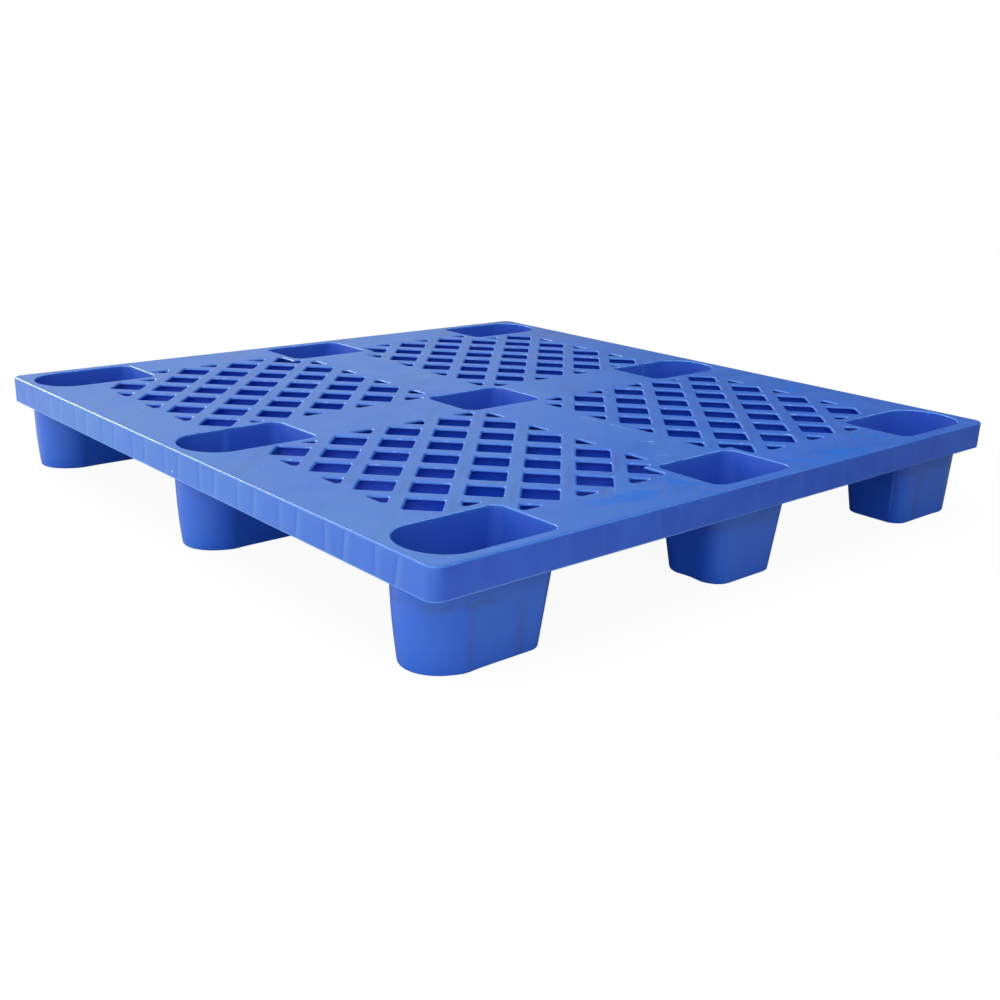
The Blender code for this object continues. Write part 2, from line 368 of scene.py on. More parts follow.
def grid_cutter(outlines, rectangle, radius, steps, section):
    """One cutter for all cells that reach into a rectangle, or None."""
    bm = bmesh.new()
    for points in outlines:
        if overlaps(points, *rectangle):
            loft(bm, [at_height(rounded(points, radius, offset, steps), z) for z, offset in section])
    return new_object("grid_cutter", bm) if bm.verts else bm.free()


def grid_cutters(rectangle):
    """Cutters for the hollows between the ribs and for the openings."""
    return (grid_cutter(coffer_outlines(), rectangle, COFFER_CORNER, 3, coffer_section()),
            grid_cutter(opening_outlines(), rectangle, OPENING_CORNER, 5, opening_section()))


def combine(base, steps):
    """Apply exact Booleans in turn, remove the solids and return the resulting mesh."""
    for operation, other in steps:
        if other is None:
            continue
        change = base.modifiers.new(operation, "BOOLEAN")
        change.operation = operation
        change.solver = "EXACT"
        change.object = other
    graph = bpy.context.evaluated_depsgraph_get()
    mesh = bpy.data.meshes.new_from_object(base.evaluated_get(graph))
    for item in [base] + [other for operation, other in steps if other]:
        bpy.data.objects.remove(item, do_unlink=True)
    return mesh


def tidy_mesh(mesh):
    """Weld the specks that a Boolean leaves."""
    bm = bmesh.new()
    bm.from_mesh(mesh)
    bmesh.ops.remove_doubles(bm, verts=bm.verts, dist=SPECK)
    bmesh.ops.dissolve_degenerate(bm, edges=bm.edges, dist=SPECK)
    bm.to_mesh(mesh)
    bm.free()


# Deck pieces

def rectangle_of(node):
    """The node's share of the deck, with the CAD's seam gaps closed."""
    low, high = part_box(node)
    limits = []
    for axis in (0, 1):
        for value, side in ((low[axis], -1), (high[axis], 1)):
            at_rim = abs(value) > RIM_INSIDE - 4 * HALF_GAP
            limits.append(math.copysign(RIM_INSIDE, value) if at_rim else value + side * HALF_GAP)
    return limits


def slab(rectangle, round_corner):
    """The full depth of plate and ribs over a rectangle, with the pallet's round corner if asked."""
    low_x, high_x, low_y, high_y = rectangle
    points = [(low_x, low_y), (high_x, low_y)]
    if round_corner:
        radius = RIM_CORNER - RIM_WALL
        for angle in quarter_turn(8):
            points.append((high_x - radius + radius * math.cos(angle),
                           high_y - radius + radius * math.sin(angle)))
    else:
        points.append((high_x, high_y))
    points.append((low_x, high_y))
    bm = bmesh.new()
    loft(bm, [at_height(points, RIB_BOTTOM), at_height(points, TOP)])
    return new_object("slab", bm)


def deck_mesh(node):
    """A share of the deck plate with its openings and ribs."""
    rectangle = rectangle_of(node)
    base = slab(rectangle, False)
    coffers, openings = grid_cutters(rectangle)
    return combine(base, [("DIFFERENCE", coffers), ("DIFFERENCE", openings)])


# Legs

class Cup:
    """The inside surface of a leg in the +X +Y quarter."""

    def __init__(self, outer_column, outer_row):
        self.outer_column = outer_column
        self.outer_row = outer_row

    def outline(self, height, offset):
        """Points around the cup at a height, moved out by an offset, starting near its +X end."""
        share = height / TOP
        centre_x = blend(OUTER_FOOT[0], OUTER_MOUTH[0], share) if self.outer_column else 0.0
        centre_y = blend(OUTER_FOOT[1], OUTER_MOUTH[1], share) if self.outer_row else 0.0
        lengths = OUTER_HALF_LENGTHS if self.outer_column else MIDDLE_HALF_LENGTHS
        length = blend(*lengths, share) + offset
        width = blend(*HALF_WIDTHS, share) + offset
        corner = blend(*(OUTER_CORNERS if self.outer_column else MIDDLE_CORNERS), share) + offset
        plain = (corner, corner, CORNER_STEPS)
        plus_x = (ROUND_END + offset, width, ROUND_END_STEPS) if self.outer_column else plain
        quarters = ((1, 1, plus_x), (-1, 1, plain), (-1, -1, plain), (1, -1, plus_x))
        arcs = []
        for turn, (sign_x, sign_y, (round_x, round_y, steps)) in enumerate(quarters):
            arc_x = sign_x * (length - round_x)
            arc_y = sign_y * (width - round_y)
            arc = []
            for step in range(steps + 1):
                angle = math.pi / 2 * (turn + step / steps)
                arc.append((arc_x + round_x * math.cos(angle), arc_y + round_y * math.sin(angle)))
            arcs.append(arc)
        points = []
        for arc, following, parts in zip(arcs, arcs[1:] + arcs[:1], SIDE_PARTS):
            points += arc
            if self.outer_column and following is arcs[0]:
                points.pop()
                continue
            for part in range(1, parts):
                points.append((blend(arc[-1][0], following[0][0], part / parts),
                               blend(arc[-1][1], following[0][1], part / parts)))
        return [self.warped(x, y, length, width, share, centre_x, centre_y) for x, y in points]

    def warped(self, x, y, length, width, share, centre_x, centre_y):
        """The bulges and hollows of a cooled moulding, placed by shares of the half length and width."""
        along, across = x / length, y / width
        low_down = 1 - share
        belly = 4 * share * low_down
        if self.outer_column:
            round_end = smooth_step((along - 0.55) / 0.4)
            x += ROUND_END_BELLY * belly * round_end
            shoulder = bump_at(along - 0.42, 0.16) * smooth_step((abs(across) - 0.7) / 0.3)
            y += math.copysign(LONG_SIDE_SWELL * shoulder * low_down, y)
        else:
            flat_end = smooth_step((abs(along) - 0.8) / 0.2)
            hollow = bump_at(across, 0.45) * low_down * FLAT_END_HOLLOW
            x -= math.copysign(flat_end * (hollow - FLAT_END_SWELL * low_down), x)
            x += math.copysign(flat_end * belly * FLAT_END_BELLY * smooth_step(-across), x)
        return centre_x + x, centre_y + y


def cup_outside(cup):
    """The leg as a filled solid, from its foot to inside the deck plate."""
    ring_inside = CUP_WALL - FOOT_ROUND - FOOT_RING
    rings = [at_height(cup.outline(0, ring_inside - FOOT_DISH_SLOPE), FOOT_DISH),
             at_height(cup.outline(0, ring_inside), 0.0)]
    for angle in quarter_turn(6):
        height = FOOT_ROUND * (1 - math.cos(angle))
        rings.append(at_height(cup.outline(height, CUP_WALL - FOOT_ROUND * (1 - math.sin(angle))), height))
    for height in divided(FOOT_ROUND, CEILING + LEG_ROOT_START, 12):
        rings.append(at_height(cup.outline(height, CUP_WALL), height))
    for rise, spread in LEG_ROOT:
        rings.append(at_height(cup.outline(CEILING + rise, CUP_WALL + spread), CEILING + rise))
    bm = bmesh.new()
    loft(bm, rings)
    return new_object("cup_outside", bm)


def cup_inside(cup):
    """What the mould's core takes out of the leg."""
    rings = [at_height(cup.outline(TOP, spread), TOP - drop)
             for drop, spread in edge_round(MOUTH_ROUND, steps=5, overshoot=0.5 * MM)]
    floor = CUP_BASE + CUP_FLOOR_ROUND
    for height in divided(TOP - MOUTH_ROUND, floor, 12):
        rings.append(at_height(cup.outline(height, 0.0), height))
    for angle in quarter_turn(5)[1:]:
        height = floor - CUP_FLOOR_ROUND * math.sin(angle)
        rings.append(at_height(cup.outline(height, -CUP_FLOOR_ROUND * (1 - math.cos(angle))), height))
    bm = bmesh.new()
    loft(bm, rings)
    return new_object("cup_inside", bm)


def leg_mesh(node, outer_column, outer_row):
    """A leg with the plate and ribs round its mouth."""
    rectangle = rectangle_of(node)
    base = slab(rectangle, outer_column and outer_row)
    coffers, openings = grid_cutters(rectangle)
    cup = Cup(outer_column, outer_row)
    steps = [("DIFFERENCE", coffers), ("UNION", cup_outside(cup)), ("DIFFERENCE", cup_inside(cup)),
             ("DIFFERENCE", openings)]
    return combine(base, steps)


# Rim

def rim_section():
    """Section of the rim as (depth behind the outer face, height)."""
    section = [(RIM_WALL, TOP)]
    for angle in quarter_turn(6):
        section.append((RIM_TOP_ROUND * (1 - math.sin(angle)), TOP - RIM_TOP_ROUND * (1 - math.cos(angle))))
    high, low = TOP - RIM_TOP_ROUND, RIM_BOTTOM + RIM_FOOT_ROUND
    for share in divided(0.0, 1.0, 12):
        section.append((RIM_DRAFT * share, blend(high, low, share)))
    for angle in quarter_turn(3)[1:]:
        section.append((RIM_DRAFT + RIM_FOOT_ROUND * (1 - math.cos(angle)),
                        low - RIM_FOOT_ROUND * math.sin(angle)))
    for angle in quarter_turn(3)[:-1]:
        section.append((RIM_WALL - RIM_FOOT_ROUND * (1 - math.sin(angle)),
                        low - RIM_FOOT_ROUND * math.cos(angle)))
    section.append((RIM_WALL, low))
    return section


def crease_depth(distance, depth, reach):
    """Depth at a distance along the rim from a crease, which fades out to both sides."""
    return depth * math.exp(-math.hypot(distance, CREASE_BLUNTNESS) / reach)


def rim_sink(along, z):
    """Depth of the creases where the diagonal ribs meet the rim, at a place on the +X side."""
    drop = (TOP - z) / (TOP - RIM_BOTTOM)
    total = 0.0
    for start, lean, depth in CREASES:
        from_crease = along - start - lean * (drop - 0.5)
        wrapped = (from_crease + CREASE_PERIOD / 2) % CREASE_PERIOD - CREASE_PERIOD / 2
        total += crease_depth(wrapped, depth, CREASE_REACH)
    for start in FINE_CREASES:
        total += crease_depth(along - start, FINE_CREASE_DEPTH, FINE_CREASE_REACH)
    return total * blend(0.35, 1.0, smooth_step(drop / 0.15))


def rim_path():
    """(angle round the corner, distance along) of each station of the +X side, end to end."""
    straight = HALF - RIM_CORNER
    corner = [math.pi / 4 * step / 6 for step in range(7)]
    stations = [(-angle, -straight) for angle in reversed(corner)]
    stations += [(0.0, along) for along in divided(-straight, straight, RIM_STATIONS)[:-1]]
    return stations + [(angle, straight) for angle in corner]


def rim_mesh():
    """The rim along the +X side, mitred half way round the corner at each end."""
    arc_centre = HALF - RIM_CORNER
    section = rim_section()
    rings = []
    for angle, along in rim_path():
        ring = []
        for depth, z in section:
            outer_face = 1.0 - smooth_step(depth / RIM_FACE)
            sunk = depth + (rim_sink(along, z) if angle == 0.0 else 0.0) * outer_face
            radius = RIM_CORNER - sunk
            ring.append((arc_centre + radius * math.cos(angle), along + radius * math.sin(angle), z))
        rings.append(ring)
    bm = bmesh.new()
    loft(bm, rings)
    return to_mesh("rim", bm)


# Pieces

def finish_piece(node, mesh, material, flip_x=1, flip_y=1, quarter_turns=0):
    """Put a mesh in place for a CAD node, mirrored or turned."""
    mesh = mesh.copy()
    mesh.name = node + "_shape"
    placing = Matrix.Rotation(quarter_turns * math.pi / 2, 4, "Z") @ Matrix.Diagonal((flip_x, flip_y, 1, 1))
    mesh.transform(placing)
    if flip_x * flip_y < 0:
        mesh.flip_normals()
    mesh.materials.clear()
    mesh.materials.append(material)
    mesh.shade_smooth()
    mesh.set_sharp_from_angle(angle=SHARP_ANGLE)
    piece = bpy.data.objects.new(node + "_moulding", mesh)
    bpy.context.scene.collection.objects.link(piece)
    weights = piece.modifiers.new("even_shading", "WEIGHTED_NORMAL")
    weights.keep_sharp = True
    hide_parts(node)
    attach(piece, "root")


def build_pallet(materials):
    """Model one quarter and one side, and mirror or turn them to all 29 nodes."""
    signs = (("left", -1), ("right", 1))
    rows = (("front", -1), ("back", 1))
    deck = materials["deck_plastic"]
    quarter = {name: deck_mesh(name) for name in (
        "grille_back_right", "centre_band_back", "side_band_back_right", "back_band_right",
        "middle_band_right")}
    for mesh in quarter.values():
        tidy_mesh(mesh)
    for row, flip_y in rows:
        finish_piece(f"centre_band_{row}", quarter["centre_band_back"], deck, 1, flip_y)
        for side, flip_x in signs:
            for node, source in ((f"grille_{row}_{side}", "grille_back_right"),
                                 (f"side_band_{row}_{side}", "side_band_back_right"),
                                 (f"{row}_band_{side}", "back_band_right")):
                finish_piece(node, quarter[source], deck, flip_x, flip_y)
    for side, flip_x in signs:
        finish_piece(f"middle_band_{side}", quarter["middle_band_right"], deck, flip_x, 1)
    leg = materials["leg_plastic"]
    for row_source, row_list in (("back", rows), ("middle", (("middle", 1),))):
        for column_source, column_list in (("right", signs), ("centre", (("centre", 1),))):
            source = f"leg_{row_source}_{column_source}"
            mesh = leg_mesh(source, column_source == "right", row_source == "back")
            tidy_mesh(mesh)
            for row, flip_y in row_list:
                for column, flip_x in column_list:
                    finish_piece(f"leg_{row}_{column}", mesh, leg, flip_x, flip_y)
    rim = rim_mesh()
    for turns, side in enumerate(("right", "back", "left", "front")):
        finish_piece(f"rim_{side}", rim, materials["rim_plastic"], quarter_turns=turns)


# Materials

class Graph:
    """Short calls for the nodes of one tree."""

    def __init__(self, tree):
        self.tree = tree

    def node(self, kind, inputs, output=0, **settings):
        made = self.tree.nodes.new(kind)
        for key, value in settings.items():
            setattr(made, key, value)
        for key, value in inputs.items():
            self.put(made.inputs[key], value)
        return made.outputs[output]

    def put(self, socket, value):
        if isinstance(value, bpy.types.NodeSocket):
            self.tree.links.new(value, socket)
        else:
            socket.default_value = value

    def math(self, operation, first, second=0.0):
        return self.node("ShaderNodeMath", {0: first, 1: second}, operation=operation)

    def magnitude(self, value):
        return self.math("ABSOLUTE", value)

    def times(self, *factors):
        total = factors[0]
        for factor in factors[1:]:
            total = self.math("MULTIPLY", total, factor)
        return total

    def plus(self, *terms):
        total = terms[0]
        for term in terms[1:]:
            total = self.math("ADD", total, term)
        return total

    def less(self, first, second):
        return self.math("SUBTRACT", first, second)

    def step(self, value, start, end, low=0.0, high=1.0):
        """A smooth passage from low at the start to high at the end."""
        inputs = {"Value": value, "From Min": start, "From Max": end, "To Min": low, "To Max": high}
        return self.node("ShaderNodeMapRange", inputs, interpolation_type="SMOOTHSTEP")

    def bell(self, value, centre, width):
        """1 at the centre, 0 beyond the width on both sides."""
        distance = self.magnitude(self.less(value, centre))
        return self.step(distance, 0.0, width, 1.0, 0.0)

    def noise(self, place, scale, detail=3.0, roughness=0.5, distortion=0.0):
        inputs = {"Vector": place, "Scale": scale, "Detail": detail, "Roughness": roughness,
                  "Distortion": distortion}
        return self.node("ShaderNodeTexNoise", inputs)

    def stretched(self, place, scale, turn=0.0):
        inputs = {"Vector": place, "Rotation": (0.0, 0.0, math.radians(turn)), "Scale": scale}
        return self.node("ShaderNodeMapping", inputs, vector_type="TEXTURE")

    def mix(self, share, first, second):
        return self.node("ShaderNodeMix", {0: share, 6: first, 7: second}, output=2, data_type="RGBA")

    def split(self, vector):
        made = self.tree.nodes.new("ShaderNodeSeparateXYZ")
        self.tree.links.new(vector, made.inputs[0])
        return made.outputs


def new_material(name):
    """A material, its graph and the inputs of its Principled shader."""
    material = bpy.data.materials.new(name)
    material.use_nodes = True
    return material, Graph(material.node_tree), material.node_tree.nodes["Principled BSDF"].inputs


class Surface:
    """Sockets for where a point of the pallet is and which way it faces."""

    def __init__(self, g):
        self.place = g.node("ShaderNodeTexCoord", {}, output="Object")
        self.x, self.y, self.height = g.split(self.place)
        self.normal = g.split(g.node("ShaderNodeNewGeometry", {}, output="Normal"))


# Colours of the plastic, from deep to pale, some of them painted light or shade, and of what lies on it
# Deep blue: real tone of the rim's mottling, also painted shade in creases, on shaded leg ends and inside
# the cups
DEEP_BLUE = (0.007, 0.072, 0.520, 1.0)
INNER_BLUE = (0.008, 0.086, 0.745, 1.0)
CLEAN_BLUE = (0.012, 0.100, 0.580, 1.0)
LEG_BLUE = (0.014, 0.120, 0.575, 1.0)
# Vivid blue: wiped patches, also a painted highlight band inside the cups
VIVID_BLUE = (0.012, 0.158, 0.680, 1.0)
# Painted highlight: the lighter blue of the rounded lips, which catch the light
LIP_BLUE = (0.024, 0.198, 0.650, 1.0)
# Painted light: the paler blue of faces toward the left, which the light falls on
LIT_SIDE_BLUE = (0.036, 0.175, 0.545, 1.0)
DUSTY_BLUE = (0.048, 0.190, 0.570, 1.0)
# Painted light: the paler blue before each rim crease
CREASE_LIGHT_BLUE = (0.085, 0.235, 0.590, 1.0)
# Painted highlight on lips, edges and corners, also the colour of real burrs
PALE_BURR_AND_GLEAM = (0.170, 0.440, 0.860, 1.0)
PALE_SCRATCH = (0.420, 0.560, 0.800, 1.0)
BROWN_DIRT = (0.130, 0.130, 0.210, 1.0)
# Dark dirt, also used for painted shade in bands on the legs
DARK_DIRT_AND_SHADE = (0.030, 0.066, 0.230, 1.0)

PLASTIC_IOR = 1.53

# Scuffs on the deck as (start, end, half width, strength), in millimetres
SCUFFS = (
    ((39, -165), (44, -300), 6.0, 0.30),
    ((6, -328), (22, -341), 2.0, 1.40),
    ((2, -337), (16, -348), 1.6, 1.00),
    ((30, -352), (62, -360), 1.2, 0.35),
    ((-40, -392), (10, -402), 1.5, 0.40),
    ((-212, -480), (-150, -420), 1.2, 0.40),
    ((-330, 190), (-250, 205), 1.2, 0.30),
    ((150, 60), (210, 20), 1.4, 0.30),
    ((-512, -150), (-500, -138), 2.0, 0.70),
    ((-545, -127), (-539, -121), 2.2, 0.90),
    ((-464, 202), (-458, 207), 2.4, 0.90),
    ((-549, -262), (-545, -256), 2.0, 0.90),
)

# Where the deck has been wiped, as (low x, high x, fade, low y, high y, fade) in metres
WIPED_ZONES = (
    (0.07, 0.42, 0.05, -0.56, -0.43, 0.03),
    (-0.30, -0.06, 0.05, -0.56, -0.44, 0.03),
    (0.33, 0.54, 0.04, -0.44, -0.15, 0.08),
)

# Painted shade in soft upright bands on the legs' long sides, as (place beside the mouth's centre, half
# width, strength)
LEG_SHADE_BANDS = ((0.038, 0.009, 0.22), (-0.036, 0.013, 0.34))


def inside(g, value, low, high, fade):
    """1 where a value lies between two limits, fading out over a distance."""
    return g.times(g.step(value, low, low + fade), g.step(value, high, high - fade))


def scuff(g, at, start, end, width):
    """1 on a line across the deck between two places in millimetres."""
    (x0, y0), (x1, y1) = [(a * MM, b * MM) for a, b in (start, end)]
    along_x, along_y = unit(x1 - x0, y1 - y0)
    from_x, from_y = g.less(at.x, x0), g.less(at.y, y0)
    along = g.plus(g.times(from_x, along_x), g.times(from_y, along_y))
    across = g.less(g.times(from_x, along_y), g.times(from_y, along_x))
    length = math.hypot(x1 - x0, y1 - y0)
    return g.times(inside(g, along, 0.0, length, 0.15 * length), g.bell(across, 0.0, width * MM))


def scuffs(g, at):
    """All the scuffs, broken up into flecks."""
    worn = 0.0
    for start, end, width, strength in SCUFFS:
        worn = g.plus(worn, g.times(scuff(g, at, start, end, width), strength))
    return g.times(worn, g.step(g.noise(at.place, 130.0, 3.0, 0.6), 0.45, 0.60))


def blotches(g, at):
    """(wiped patches, their outlines) in the wiped zones."""
    lobes = g.noise(g.stretched(at.place, (0.046, 0.026, 1.0), -14), 1.0, 1.6, 0.45, 0.9)
    zone = 0.0
    for low_x, high_x, fade_x, low_y, high_y, fade_y in WIPED_ZONES:
        patch = g.times(inside(g, at.x, low_x, high_x, fade_x), inside(g, at.y, low_y, high_y, fade_y))
        zone = g.math("MAXIMUM", zone, patch)
    return g.times(g.step(lobes, 0.580, 0.605), zone), g.times(g.bell(lobes, 0.572, 0.018), zone)


def dust_and_dirt(g, at):
    """(grey dust over the deck, dark dirt along the middle of the bars with a plain darkening toward the
    right and the back right corner).
    """
    cloud = g.noise(at.place, 3.2, 6.0, 0.62, 0.6)
    smear = g.noise(g.stretched(at.place, (3.2, 0.35, 1.0), 42), 9.0, 5.0, 0.6, 0.4)
    away = g.step(g.less(at.y, at.x), -0.9, 0.1, 0.30, 1.0)
    dust = g.times(away, g.step(cloud, 0.28, 0.66, 0.55, 1.0), g.step(smear, 0.25, 0.75, 0.65, 1.0))

    start, end = PANEL_START - 4 * MM, PANEL_END + 4 * MM
    panel = g.times(inside(g, g.magnitude(at.x), start, end, 8 * MM),
                    inside(g, g.magnitude(at.y), start, end, 8 * MM))
    half_spacing = PITCH / math.sqrt(2)
    from_rising = g.math("PINGPONG", g.times(g.less(at.x, at.y), math.sqrt(0.5)), half_spacing)
    from_falling = g.math("PINGPONG", g.times(g.plus(at.x, at.y), math.sqrt(0.5)), half_spacing)
    falling_bar = g.times(g.step(from_falling, 11 * MM, 8 * MM), g.step(from_rising, 8 * MM, 13 * MM), panel)
    dust = g.times(dust, g.less(1.0, g.times(falling_bar, 0.12)))

    streak = g.noise(g.stretched(at.place, (0.06, 0.012, 1.0), 45), 1.0, 4.0, 0.6)
    soiled = g.times(g.step(from_rising, 9 * MM, 1 * MM), panel, g.step(streak, 0.42, 0.62))
    speckle = g.noise(at.place, 55.0, 5.0, 0.65)
    # Dirt of the bars, specks and smears, plus a plain darkening toward the right and the back right corner
    dirt = g.plus(g.times(soiled, 0.24), g.times(g.step(speckle, 0.60, 0.72), 0.16),
                  g.times(g.step(smear, 0.54, 0.70), 0.26), g.step(at.x, 0.1, 0.55, 0.0, 0.14),
                  g.step(g.plus(at.x, at.y), 0.75, 1.0, 0.0, 0.20))
    return dust, dirt


def rim_body(g, at, body):
    """Painted light: paler on the faces toward the left, which the light falls on, with painted light and
    shade beside the creases.
    """
    # Painted light on the faces toward the left
    lit_side = g.times(g.step(at.normal[0], -0.10, -0.85), g.step(at.y, -0.50, -0.15, 0.60, 1.0),
                       g.step(g.noise(at.place, 6.0, 3.0, 0.5), 0.3, 0.7, 0.60, 0.90))
    rise, fall = crease_light_and_shade(g, at)
    body = g.mix(lit_side, body, LIT_SIDE_BLUE)
    # Painted light before each crease and painted shade after it
    body = g.mix(g.times(rise, 0.40), body, CREASE_LIGHT_BLUE)
    return g.mix(g.times(fall, 0.45), body, DEEP_BLUE)


def crease_light_and_shade(g, at):
    """Painted light before and painted shade after each rib crease of the left side, faint on the front and
    back.
    """
    side_x = g.step(g.magnitude(at.normal[0]), 0.7, 0.95)
    along = g.plus(g.times(at.y, side_x), g.times(at.x, g.less(1.0, side_x)))
    drop = g.times(g.less(TOP, at.height), 1 / (TOP - RIM_BOTTOM))
    deepest = CREASES[0][2]
    half_period = CREASE_PERIOD / 2
    rise = fall = 0.0
    for start, lean, depth in CREASES:
        from_line = g.plus(along, start, g.times(g.less(drop, 0.5), lean))
        wrapped = g.node("ShaderNodeMath", {0: from_line, 1: half_period, 2: -half_period}, operation="WRAP")
        before = g.times(g.step(wrapped, -15 * MM, -1 * MM), g.step(wrapped, 1 * MM, -1 * MM))
        after = g.times(g.step(wrapped, 9 * MM, 1 * MM), g.step(wrapped, -1 * MM, 1 * MM))
        rise = g.plus(rise, g.times(before, depth / deepest))
        fall = g.plus(fall, g.times(after, depth / deepest))
    level = g.times(g.plus(g.times(side_x, 0.8), 0.2), g.step(drop, 0.02, 0.15),
                    g.step(along, 0.0, 0.5, 1.0, 0.65))
    return g.times(rise, level), g.times(fall, level)


def leg_body(g, at, body, in_cup):
    """Painted light on the outer ends that face left, painted shade on the ends toward the middle, dirt with
    painted shade bands, painted shade and a painted highlight band inside the cups, and a painted highlight
    line down a corner.
    """
    outward = g.times(at.x, at.normal[0])
    # Painted light on the outer ends that face left, and painted shade on the ends toward the middle
    lit_end = g.times(g.step(at.normal[0], -0.30, -0.95), g.step(outward, 0.10, 0.30), 0.14)
    shaded = g.times(g.step(at.normal[0], -0.50, -0.95), g.step(outward, 0.15, 0.05), 0.75)
    line = g.times(corner_highlight(g, at), g.less(1.0, in_cup), 0.35)
    body = g.mix(lit_end, body, LIT_SIDE_BLUE)
    body = g.mix(shaded, body, DEEP_BLUE)
    body = g.mix(leg_smudges_and_shade(g, at), body, DARK_DIRT_AND_SHADE)
    # Painted shade on the walls inside the cup
    body = g.mix(g.times(in_cup, 0.85), body, DEEP_BLUE)
    # Painted highlight band on the cup's long walls
    body = g.mix(g.times(in_cup, cup_band(g, at)), body, VIVID_BLUE)
    return g.mix(line, body, PALE_BURR_AND_GLEAM)


def inside_cup(g, at):
    """1 on walls that face the middle of their leg, fading out toward the mouth."""
    from_centre = []
    for place, spacing in zip((at.x, at.y), OUTER_MOUTH):
        centre = g.times(g.math("ROUND", g.times(place, 1 / spacing)), spacing)
        from_centre.append(g.less(place, centre))
    outward = g.plus(g.times(from_centre[0], at.normal[0]), g.times(from_centre[1], at.normal[1]))
    return g.times(g.step(outward, 0.0, -10 * MM), g.step(at.height, TOP - 2 * MM, TOP - 6 * MM))


def cup_band(g, at):
    """A soft upright gleam on the long walls of the outer cups of the middle row."""
    band = g.bell(g.magnitude(at.x), 0.438, 0.009)
    long_wall = g.step(g.magnitude(at.normal[1]), 0.8, 0.95)
    return g.times(band, long_wall, g.step(g.magnitude(at.y), 0.2, 0.1), 0.6)


def corner_highlight(g, at):
    """A painted highlight: a fine pale line down the front corner of the outer legs, on the end toward the
    middle.
    """
    inner_end = g.step(g.times(at.x, at.normal[0]), -0.10, -0.25)
    line = g.times(g.bell(g.magnitude(at.normal[1]), 0.25, 0.05), g.step(at.normal[1], 0.0, -0.1))
    return g.times(inner_end, line, g.step(at.height, 0.010, 0.030))


def leg_smudges_and_shade(g, at):
    """Wavy dirt under the rim, and painted shade in soft upright bands on the long sides of the legs."""
    ragged = g.noise(g.stretched(at.place, (0.035, 0.035, 0.030)), 1.0, 4.0, 0.6, 0.8)
    level = g.plus(at.height, g.times(g.less(ragged, 0.5), 0.030))
    patchy = g.step(g.noise(at.place, 17.0, 2.0, 0.5, 0.5), 0.42, 0.60)
    tide = g.times(g.bell(level, 0.081, 0.006), g.step(ragged, 0.34, 0.50),
                   g.plus(0.10, g.times(patchy, 0.30)))
    long_side = g.step(g.magnitude(at.normal[1]), 0.86, 0.97)
    along = g.less(g.magnitude(at.x), OUTER_MOUTH[0])
    # Painted shade bands
    bands = [g.times(g.bell(along, centre, width), strength) for centre, width, strength in LEG_SHADE_BANDS]
    sweep = g.plus(*bands)
    return g.plus(tide, g.times(sweep, g.step(at.height, 0.092, 0.045), long_side))


def leg_burrs_and_glints(g, at):
    """Bright broken burrs on the front lips of the mouths, and a painted glint on the lips that face left.
    """
    dashes = g.noise(g.stretched(at.place, (0.022, 0.10, 1.0)), 1.0, 3.0, 0.6)
    front = g.times(g.step(at.normal[1], -0.25, -0.6), g.step(dashes, 0.44, 0.54))
    return g.math("MAXIMUM", front, g.times(g.step(at.normal[0], -0.25, -0.6), 0.6))


def rim_nick_and_gleam(g, at, colour):
    """A nick half way along the left side, and a painted highlight along the lower edge that fades toward
    the right.
    """
    nick = g.times(g.bell(at.y, 0.0, 3 * MM), g.bell(at.height, 0.109, 3 * MM),
                   g.step(at.normal[0], -0.5, -0.9))
    foot = g.times(g.bell(at.height, RIM_BOTTOM + 0.8 * MM, 1.4 * MM),
                   g.step(at.x, -0.35, 0.25, 0.50, 0.15))
    colour = g.mix(nick, colour, PALE_SCRATCH)
    return g.mix(foot, colour, PALE_BURR_AND_GLEAM)


